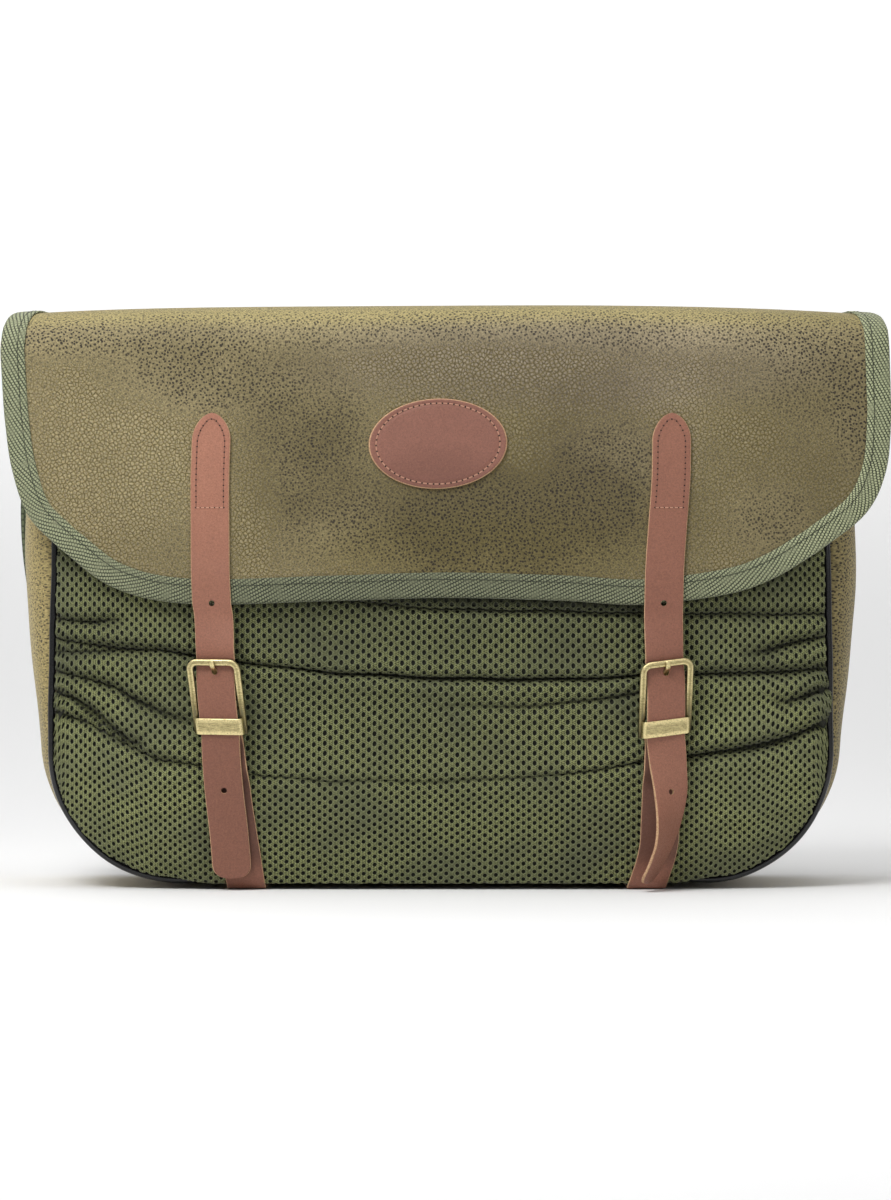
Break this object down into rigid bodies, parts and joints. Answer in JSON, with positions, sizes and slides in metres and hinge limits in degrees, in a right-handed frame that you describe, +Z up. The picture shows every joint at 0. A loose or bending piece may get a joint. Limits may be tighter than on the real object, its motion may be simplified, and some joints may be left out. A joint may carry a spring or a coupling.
{
  "type": "hunting game bag",
  "caption": "Game bag: fabric satchel with a bound flap, an oval leather label, a gathered mesh front pocket, buckled leather straps and a webbing shoulder strap.",
  "frame": {"origin": "middle of the bounding box, on the level that the bag stands on", "axes": "+X to the right as seen from the front, -Y towards the front with the mesh pocket, +Z up"},
  "size_m": [0.4633, 0.148, 0.3033],
  "materials": {
    "flap_fabric": "matt, pebbled",
    "gusset_fabric": "matt, suede-like",
    "mesh_fabric": "matt knitted mesh",
    "webbing": "woven, slight sheen",
    "leather": "grained, satin",
    "brass": "aged, brushed",
    "piping": "glossy"
  },
  "bodies": {
    "root": {"back_panel": "flap_fabric", "front_panel": "flap_fabric", "flap": "flap_fabric", "gusset": "gusset_fabric", "mesh_pocket": "mesh_fabric", "flap_binding": "webbing", "shoulder_strap": "webbing", "front_piping": "piping", "back_piping": "piping", "label_patch": "leather", "billet_strap_left": "leather", "billet_strap_right": "leather", "buckle_strap_left": "leather", "buckle_strap_right": "leather", "buckle_left": "brass", "buckle_right": "brass", "prong_left": "brass", "prong_right": "brass"}
  },
  "joints": []
}
